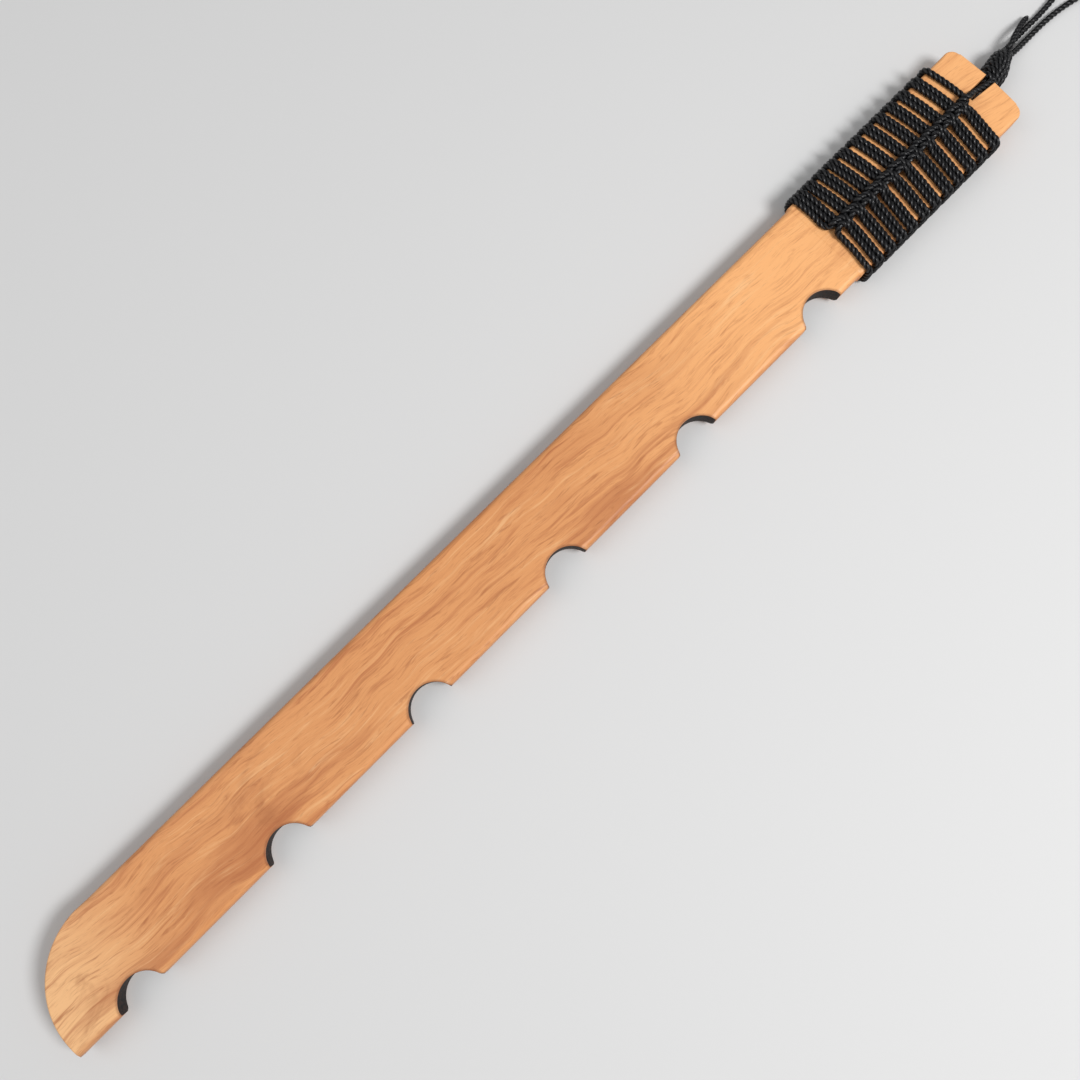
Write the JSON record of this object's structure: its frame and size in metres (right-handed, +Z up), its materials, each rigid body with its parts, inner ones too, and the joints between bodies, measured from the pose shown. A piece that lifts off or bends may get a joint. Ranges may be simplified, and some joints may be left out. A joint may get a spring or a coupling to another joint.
{
  "type": "wooden practice sword",
  "caption": "Flat wooden practice sword with a rounded nose, a notched edge, a cord-hitched grip and a knotted wrist loop.",
  "frame": {"origin": "under the middle of the sword, on the surface that it lies on", "axes": "+X from the tip to the butt, +Y from the notched edge to the back, +Z up through the board's thickness"},
  "size_m": [0.8827, 0.0626, 0.0213],
  "materials": {
    "wood": "satin, lightly oiled",
    "cord": "three-ply twisted cord, slight sheen"
  },
  "bodies": {
    "root": {"sword_body": "wood", "grip_strand_a": "cord", "grip_strand_b": "cord", "lanyard_knot": "cord", "lanyard_tail": "cord", "wrist_loop": "cord"}
  },
  "joints": []
}
